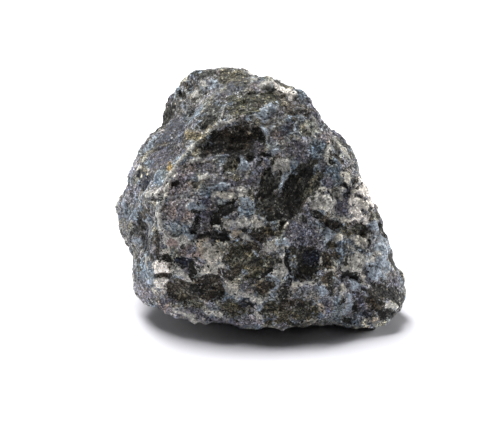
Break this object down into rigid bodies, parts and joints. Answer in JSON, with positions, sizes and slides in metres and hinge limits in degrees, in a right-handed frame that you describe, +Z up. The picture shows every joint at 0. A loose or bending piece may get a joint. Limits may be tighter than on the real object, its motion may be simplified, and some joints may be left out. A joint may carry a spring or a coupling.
{
  "type": "rough gabbro stone",
  "caption": "Rough fist-sized piece of coarse-grained gabbro with one broad broken face, ledges and a flat it rests on.",
  "frame": {"origin": "on the surface that the stone rests on, under the middle of its bounding box", "axes": "+Z up; +X to the right when looking at the broad broken face, along the longest side; the broad face looks along -Y"},
  "size_m": [0.0596, 0.045, 0.049],
  "materials": {
    "gabbro": "rough broken crystal faces, blue-grey feldspar and olive-black pyroxene with small bright cleavage glints"
  },
  "bodies": {
    "root": {"stone": "gabbro"}
  },
  "joints": []
}
